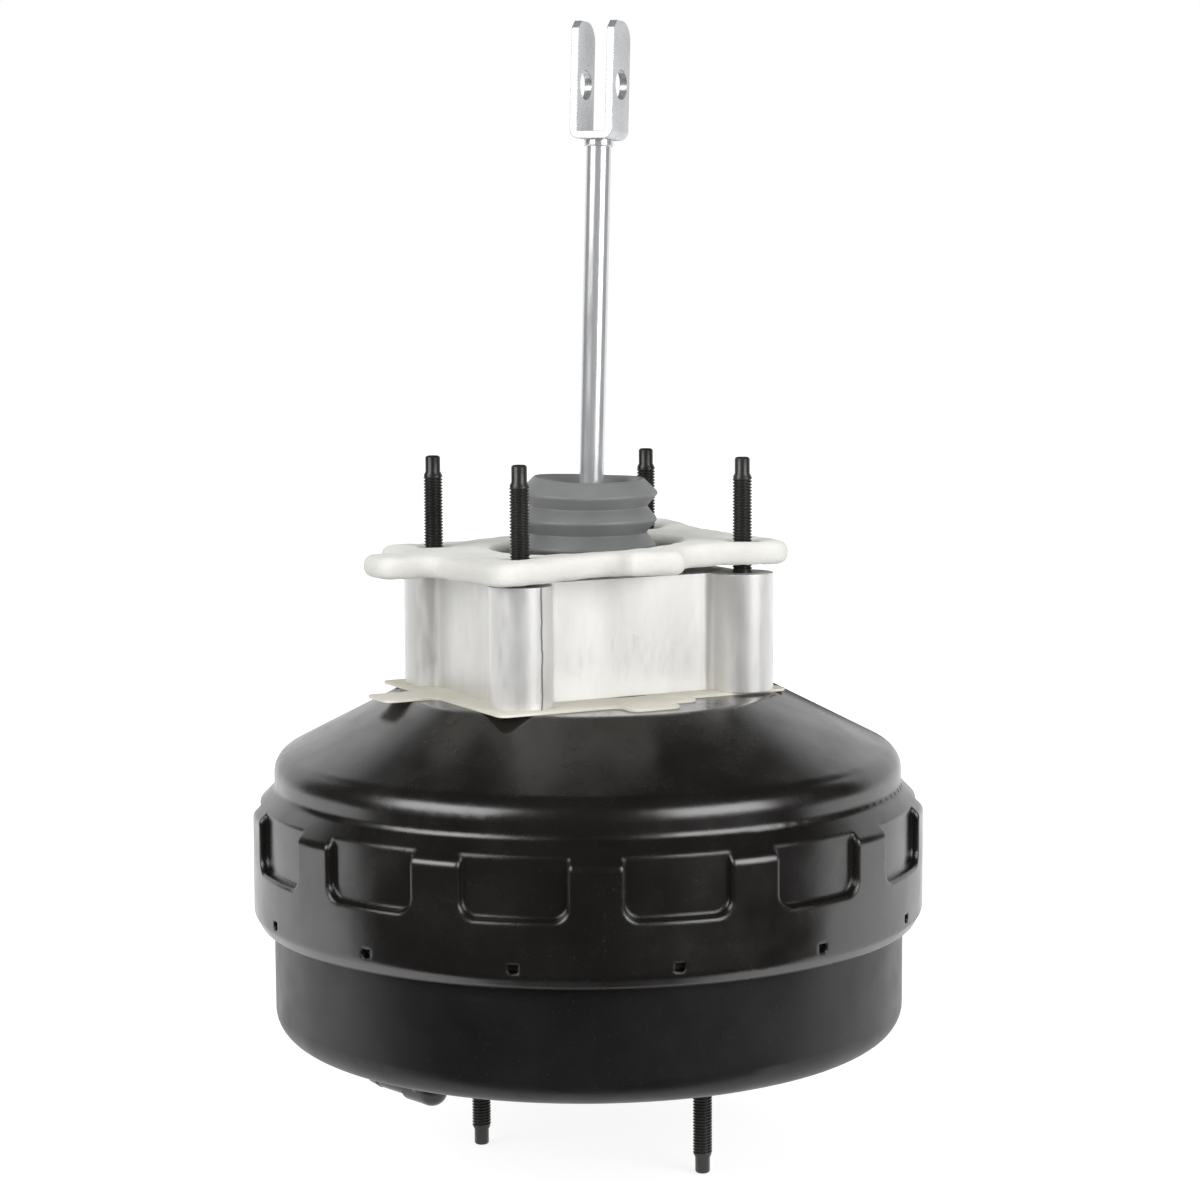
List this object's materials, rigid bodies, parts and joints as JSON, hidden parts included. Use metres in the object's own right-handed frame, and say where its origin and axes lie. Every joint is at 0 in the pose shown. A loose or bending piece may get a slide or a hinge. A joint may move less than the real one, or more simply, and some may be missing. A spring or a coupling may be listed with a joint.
{
  "type": "brake booster",
  "caption": "Tandem vacuum brake booster with pressed shells, spacer and gaskets, ribbed dust boot, firewall studs and a clevis input rod.",
  "frame": {"origin": "centre of the four firewall studs on the spacer's mounting face", "axes": "+Z along the booster's axis towards the brake pedal, +X along the long side of the stud pattern, +Y along its short side"},
  "size_m": [0.274, 0.274, 0.4667],
  "materials": {
    "black_enamel": "glossy black enamel on pressed steel",
    "black_satin": "satin black paint on pressed steel",
    "plate_steel": "yellow-passivated pressed steel",
    "black_steel": "black phosphate",
    "gasket_card": "cream gasket sheet",
    "cast_aluminium": "satin, drawn streaks along the height",
    "foam": "off-white sealing foam",
    "grey_rubber": "matt grey rubber",
    "black_rubber": "matt black rubber",
    "spring_steel": "hardened steel",
    "phenolic": "moulded phenolic",
    "bearing_plastic": "natural bearing plastic",
    "turned_steel": "turned steel",
    "filter_foam": "open-cell filter foam",
    "zinc_steel": "bright zinc plate",
    "black_plastic": "glass-filled nylon"
  },
  "bodies": {
    "housing": {"rear_shell": "black_enamel", "front_shell": "black_satin", "rear_reinforcement": "plate_steel", "front_reinforcement": "plate_steel", "firewall_studs": "black_steel", "master_cylinder_studs": "black_steel", "base_gasket": "gasket_card", "spacer": "cast_aluminium", "foam_gasket": "foam", "dust_boot": "grey_rubber", "centre_divider": "plate_steel", "divider_seal": "black_rubber", "front_diaphragm": "black_rubber", "rear_diaphragm": "black_rubber", "neck_bearing": "bearing_plastic", "neck_seal": "black_rubber", "return_spring": "spring_steel", "front_seal": "plate_steel", "check_valve_grommet": "black_rubber", "check_valve_base": "black_plastic", "check_valve_elbow": "black_plastic", "check_valve_spring": "spring_steel"},
    "power_piston": {"valve_body": "phenolic", "front_piston_plate": "plate_steel", "rear_piston_plate": "plate_steel", "front_plate_retainer": "spring_steel", "rear_plate_retainer": "spring_steel", "poppet_retainer": "plate_steel", "poppet_spring": "spring_steel", "valve_return_spring": "spring_steel", "air_filter": "filter_foam", "silencer_foam": "filter_foam", "reaction_disc": "black_rubber", "output_rod": "turned_steel", "output_rod_tip": "turned_steel", "output_rod_retainer": "plate_steel"},
    "control_plunger": {"plunger": "turned_steel", "retaining_key": "spring_steel"},
    "poppet": {"poppet_valve": "black_rubber"},
    "push_rod": {"input_rod": "zinc_steel", "clevis": "zinc_steel"},
    "check_disc": {"check_valve_disc": "black_rubber"}
  },
  "joints": [
    {"name": "power_piston_slide", "type": "slide", "parent": "housing", "child": "power_piston", "axis": [0, 0, -1], "range_m": [0, 0.032], "stiffness_N_per_m": 5000, "springref_m": -0.025, "deforming": ["dust_boot", "return_spring", "rear_diaphragm", "front_diaphragm"]},
    {"name": "plunger_slide", "type": "slide", "parent": "power_piston", "child": "control_plunger", "axis": [0, 0, -1], "range_m": [0, 0.0018], "stiffness_N_per_m": 3000, "springref_m": -0.006, "deforming": ["valve_return_spring"]},
    {"name": "poppet_slide", "type": "slide", "parent": "power_piston", "child": "poppet", "axis": [0, 0, -1], "range_m": [0, 0.0004], "deforming": ["poppet_spring"]},
    {"name": "input_rod_tilt", "type": "hinge", "parent": "control_plunger", "child": "push_rod", "pos_m": [0, 0, -0.044], "axis": [0.6289, -0.7771, -0.0256], "range_deg": [-2.5, 2.5]},
    {"name": "check_disc_slide", "type": "slide", "parent": "housing", "child": "check_disc", "axis": [0, 0, -1], "range_m": [0, 0.0015], "stiffness_N_per_m": 60, "springref_m": -0.002, "deforming": ["check_valve_spring"]}
  ],
  "couplings": [
    {"joint": "poppet_slide", "follows": "plunger_slide", "ratio": 0.2166}
  ]
}
